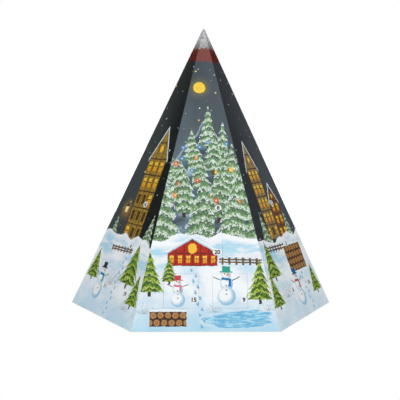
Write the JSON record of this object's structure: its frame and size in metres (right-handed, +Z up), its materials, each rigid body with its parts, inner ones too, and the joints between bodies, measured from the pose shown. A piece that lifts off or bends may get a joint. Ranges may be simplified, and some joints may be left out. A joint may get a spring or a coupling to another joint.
{
  "type": "incense cone advent calendar",
  "caption": "Hexagonal card pyramid shaped like a lit incense cone, with numbered fold-out doors on pockets that hold incense cones and a tin smoking house in its core.",
  "frame": {"origin": "on the ground, under the tip, at the middle of the six-sided foot", "axes": "+Z up through the tip, -Y out of the front face, +X to the right of the front face, through a corner"},
  "size_m": [0.34, 0.2944, 0.3546],
  "materials": {
    "printed_board": "satin print on folding board",
    "snow_print": "satin print on folding board",
    "night_print": "satin print on folding board",
    "raw_board": "uncoated board",
    "rack_card": "uncoated grey card",
    "incense_black": "matte pressed powder",
    "incense_green": "matte pressed powder",
    "incense_brown": "matte pressed powder",
    "incense_red": "matte pressed powder",
    "plain_tin": "bright rolled tin plate",
    "red_tin": "satin enamel",
    "roof_tin": "satin enamel",
    "chimney_tin": "satin enamel"
  },
  "bodies": {
    "calendar": {"panel_front": "printed_board", "panel_front_right": "printed_board", "panel_back_right": "printed_board", "panel_back": "printed_board", "panel_back_left": "printed_board", "panel_front_left": "printed_board", "seam_flap": "raw_board", "base_panel": "raw_board", "base_tabs": "raw_board", "plinth_band": "rack_card", "lower_floor": "rack_card", "lower_band": "rack_card", "lower_dividers": "rack_card", "middle_floor": "rack_card", "middle_band": "rack_card", "middle_dividers": "rack_card", "upper_floor": "rack_card", "upper_band": "rack_card", "upper_dividers": "rack_card", "top_cover": "rack_card", "cones_black": "incense_black", "cones_green": "incense_green", "cones_brown": "incense_brown", "cones_red": "incense_red", "house_tray": "plain_tin", "house_walls": "red_tin"},
    "door_15": {"door_15": "snow_print"},
    "door_09": {"door_09": "snow_print"},
    "door_20": {"door_20": "night_print"},
    "door_08": {"door_08": "night_print"},
    "door_06": {"door_06": "snow_print"},
    "door_18": {"door_18": "snow_print"},
    "door_03": {"door_03": "night_print"},
    "door_12": {"door_12": "night_print"},
    "door_21": {"door_21": "snow_print"},
    "door_01": {"door_01": "snow_print"},
    "door_14": {"door_14": "night_print"},
    "door_07": {"door_07": "night_print"},
    "door_10": {"door_10": "snow_print"},
    "door_24": {"door_24": "snow_print"},
    "door_05": {"door_05": "night_print"},
    "door_17": {"door_17": "night_print"},
    "door_02": {"door_02": "snow_print"},
    "door_13": {"door_13": "snow_print"},
    "door_22": {"door_22": "night_print"},
    "door_23": {"door_23": "night_print"},
    "door_11": {"door_11": "snow_print"},
    "door_19": {"door_19": "snow_print"},
    "door_04": {"door_04": "night_print"},
    "door_16": {"door_16": "night_print"},
    "hatch": {"hatch": "raw_board"},
    "house_roof": {"house_roof": "roof_tin", "house_chimney": "chimney_tin"}
  },
  "joints": [
    {"name": "door_15_crease", "type": "hinge", "parent": "calendar", "child": "door_15", "pos_m": [-0.048, -0.12931, 0.04345], "axis": [0, -0.3812, -0.9245], "range_deg": [0, 135]},
    {"name": "door_09_crease", "type": "hinge", "parent": "calendar", "child": "door_09", "pos_m": [0.048, -0.12931, 0.04345], "axis": [0, 0.3812, 0.9245], "range_deg": [0, 135]},
    {"name": "door_20_crease", "type": "hinge", "parent": "calendar", "child": "door_20", "pos_m": [-0.02, -0.10796, 0.09522], "axis": [0, -0.3812, -0.9245], "range_deg": [0, 135]},
    {"name": "door_08_crease", "type": "hinge", "parent": "calendar", "child": "door_08", "pos_m": [-0.02, -0.08737, 0.14514], "axis": [0, -0.3812, -0.9245], "range_deg": [0, 135]},
    {"name": "door_06_crease", "type": "hinge", "parent": "calendar", "child": "door_06", "pos_m": [0.08798, -0.10622, 0.04345], "axis": [0.3302, -0.1906, -0.9245], "range_deg": [0, 135]},
    {"name": "door_18_crease", "type": "hinge", "parent": "calendar", "child": "door_18", "pos_m": [0.13598, -0.02308, 0.04345], "axis": [-0.3302, 0.1906, 0.9245], "range_deg": [0, 135]},
    {"name": "door_03_crease", "type": "hinge", "parent": "calendar", "child": "door_03", "pos_m": [0.08349, -0.0713, 0.09522], "axis": [0.3302, -0.1906, -0.9245], "range_deg": [0, 135]},
    {"name": "door_12_crease", "type": "hinge", "parent": "calendar", "child": "door_12", "pos_m": [0.06566, -0.061, 0.14514], "axis": [0.3302, -0.1906, -0.9245], "range_deg": [0, 135]},
    {"name": "door_21_crease", "type": "hinge", "parent": "calendar", "child": "door_21", "pos_m": [0.13598, 0.02308, 0.04345], "axis": [0.3302, 0.1906, -0.9245], "range_deg": [0, 135]},
    {"name": "door_01_crease", "type": "hinge", "parent": "calendar", "child": "door_01", "pos_m": [0.08798, 0.10622, 0.04345], "axis": [-0.3302, -0.1906, 0.9245], "range_deg": [0, 135]},
    {"name": "door_14_crease", "type": "hinge", "parent": "calendar", "child": "door_14", "pos_m": [0.10349, 0.03666, 0.09522], "axis": [0.3302, 0.1906, -0.9245], "range_deg": [0, 135]},
    {"name": "door_07_crease", "type": "hinge", "parent": "calendar", "child": "door_07", "pos_m": [0.08566, 0.02636, 0.14514], "axis": [0.3302, 0.1906, -0.9245], "range_deg": [0, 135]},
    {"name": "door_10_crease", "type": "hinge", "parent": "calendar", "child": "door_10", "pos_m": [0.048, 0.12931, 0.04345], "axis": [0, 0.3812, -0.9245], "range_deg": [0, 135]},
    {"name": "door_24_crease", "type": "hinge", "parent": "calendar", "child": "door_24", "pos_m": [-0.048, 0.12931, 0.04345], "axis": [0, -0.3812, 0.9245], "range_deg": [0, 135]},
    {"name": "door_05_crease", "type": "hinge", "parent": "calendar", "child": "door_05", "pos_m": [0.02, 0.10796, 0.09522], "axis": [0, 0.3812, -0.9245], "range_deg": [0, 135]},
    {"name": "door_17_crease", "type": "hinge", "parent": "calendar", "child": "door_17", "pos_m": [0.02, 0.08737, 0.14514], "axis": [0, 0.3812, -0.9245], "range_deg": [0, 135]},
    {"name": "door_02_crease", "type": "hinge", "parent": "calendar", "child": "door_02", "pos_m": [-0.08798, 0.10622, 0.04345], "axis": [-0.3302, 0.1906, -0.9245], "range_deg": [0, 135]},
    {"name": "door_13_crease", "type": "hinge", "parent": "calendar", "child": "door_13", "pos_m": [-0.13598, 0.02308, 0.04345], "axis": [0.3302, -0.1906, 0.9245], "range_deg": [0, 135]},
    {"name": "door_22_crease", "type": "hinge", "parent": "calendar", "child": "door_22", "pos_m": [-0.08349, 0.0713, 0.09522], "axis": [-0.3302, 0.1906, -0.9245], "range_deg": [0, 135]},
    {"name": "door_23_crease", "type": "hinge", "parent": "calendar", "child": "door_23", "pos_m": [-0.06566, 0.061, 0.14514], "axis": [-0.3302, 0.1906, -0.9245], "range_deg": [0, 135]},
    {"name": "door_11_crease", "type": "hinge", "parent": "calendar", "child": "door_11", "pos_m": [-0.13598, -0.02308, 0.04345], "axis": [-0.3302, -0.1906, -0.9245], "range_deg": [0, 135]},
    {"name": "door_19_crease", "type": "hinge", "parent": "calendar", "child": "door_19", "pos_m": [-0.08798, -0.10622, 0.04345], "axis": [0.3302, 0.1906, 0.9245], "range_deg": [0, 135]},
    {"name": "door_04_crease", "type": "hinge", "parent": "calendar", "child": "door_04", "pos_m": [-0.10349, -0.03666, 0.09522], "axis": [-0.3302, -0.1906, -0.9245], "range_deg": [0, 135]},
    {"name": "door_16_crease", "type": "hinge", "parent": "calendar", "child": "door_16", "pos_m": [-0.08566, -0.02636, 0.14514], "axis": [-0.3302, -0.1906, -0.9245], "range_deg": [0, 135]},
    {"name": "hatch_crease", "type": "hinge", "parent": "calendar", "child": "hatch", "pos_m": [0, 0.035, 0.0003], "axis": [1, 0, 0], "range_deg": [0, 110]},
    {"name": "roof_lift", "type": "slide", "parent": "calendar", "child": "house_roof", "axis": [0, 0, 1], "range_m": [0, 0.018]}
  ]
}
